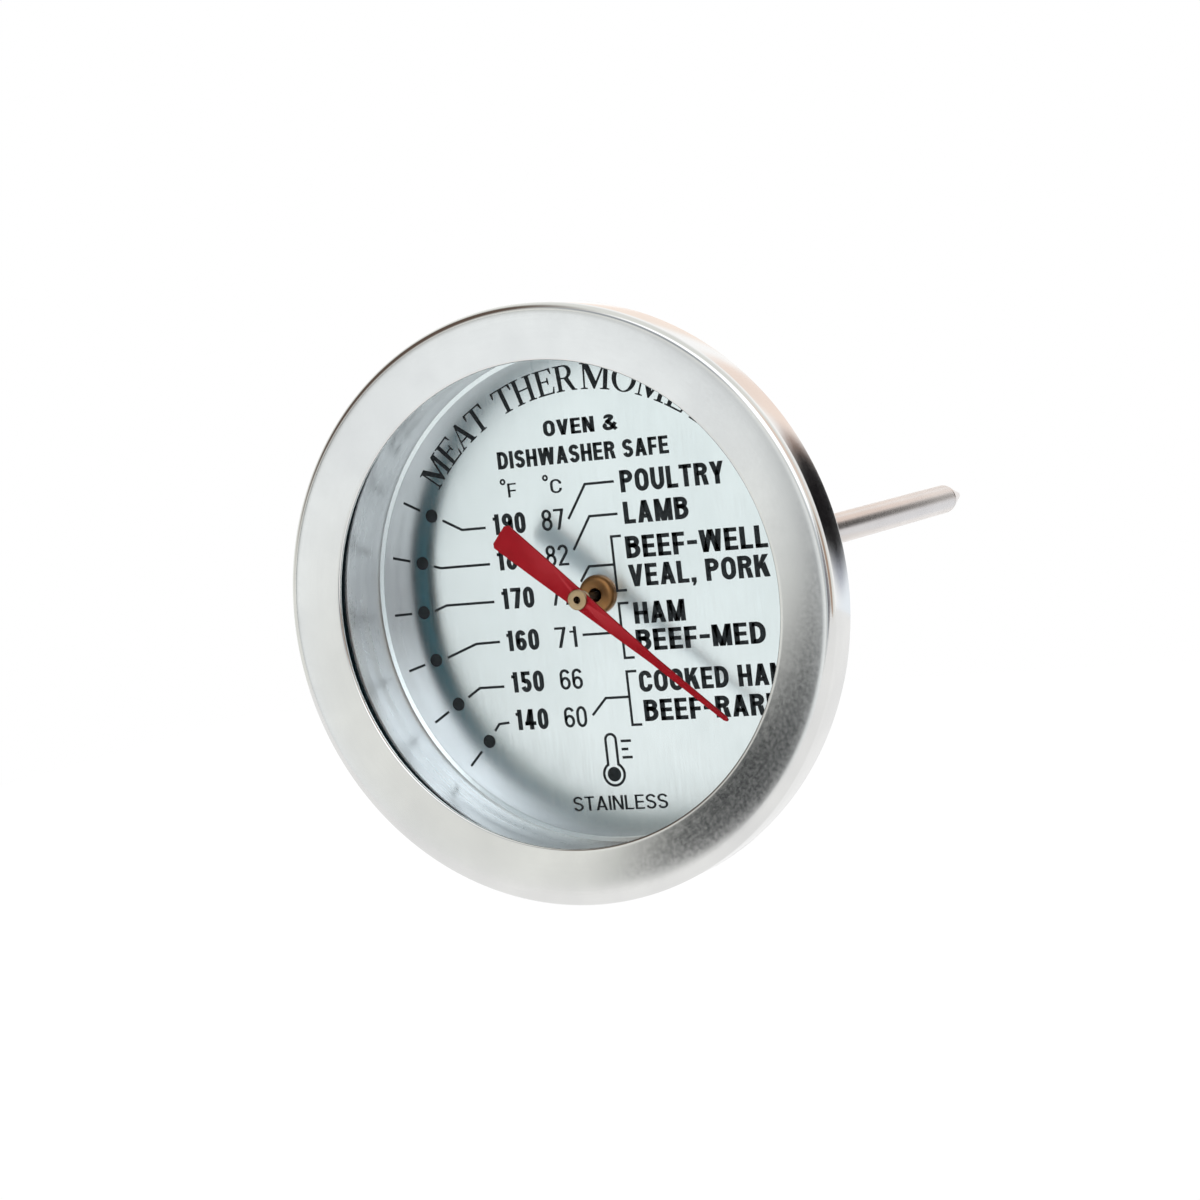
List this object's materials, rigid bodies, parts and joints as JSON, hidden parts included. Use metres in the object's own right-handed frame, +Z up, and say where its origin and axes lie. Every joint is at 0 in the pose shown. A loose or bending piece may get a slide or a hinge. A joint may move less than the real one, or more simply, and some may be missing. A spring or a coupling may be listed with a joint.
{
  "type": "meat thermometer",
  "caption": "Dial meat thermometer: glazed round stainless case on a pointed probe stem, with a red pointer that a bimetal helix turns over a printed dial.",
  "frame": {"origin": "on the stem's axis at the rear shoulder of the stem collar, where the bare stem begins", "axes": "+Y along the stem towards its tip, so the dial faces -Y; +Z up the dial's lettering; +X to the right as the dial is read"},
  "size_m": [0.06, 0.123, 0.06],
  "materials": {
    "bezel_steel": "satin, brushed round the ring",
    "case_steel": "satin drawn sheet",
    "stem_steel": "polished",
    "dial_aluminium": "satin with printed black markings",
    "turned_brass": "turned",
    "bimetal_strip": "rolled",
    "pointer_red": "semi-gloss enamel",
    "seal_rubber": "matt",
    "dial_ink": "printed matt black",
    "lens_glass": "clear, polished"
  },
  "bodies": {
    "housing": {"bezel_ring": "bezel_steel", "lens_gasket": "seal_rubber", "lens_glass": "lens_glass", "case_cup": "case_steel", "dial_plate": "dial_aluminium", "dial_bush": "turned_brass", "stem_collar": "stem_steel", "back_gasket": "seal_rubber", "collar_nut": "stem_steel", "stem_tube": "stem_steel", "stem_tip": "stem_steel", "upper_shaft_guide": "turned_brass", "middle_shaft_guide": "turned_brass", "lower_shaft_guide": "turned_brass", "bimetal_helix": "bimetal_strip", "helix_anchor": "turned_brass"},
    "pointer": {"pointer_blade": "pointer_red", "pointer_hub": "turned_brass", "pointer_shaft": "stem_steel", "helix_collar": "turned_brass"}
  },
  "joints": [
    {"name": "pointer_turn", "type": "hinge", "parent": "housing", "child": "pointer", "pos_m": [0, 0, 0], "axis": [0, 1, 0], "range_deg": [-62, 198], "stiffness_Nm_per_rad": 0.001}
  ]
}
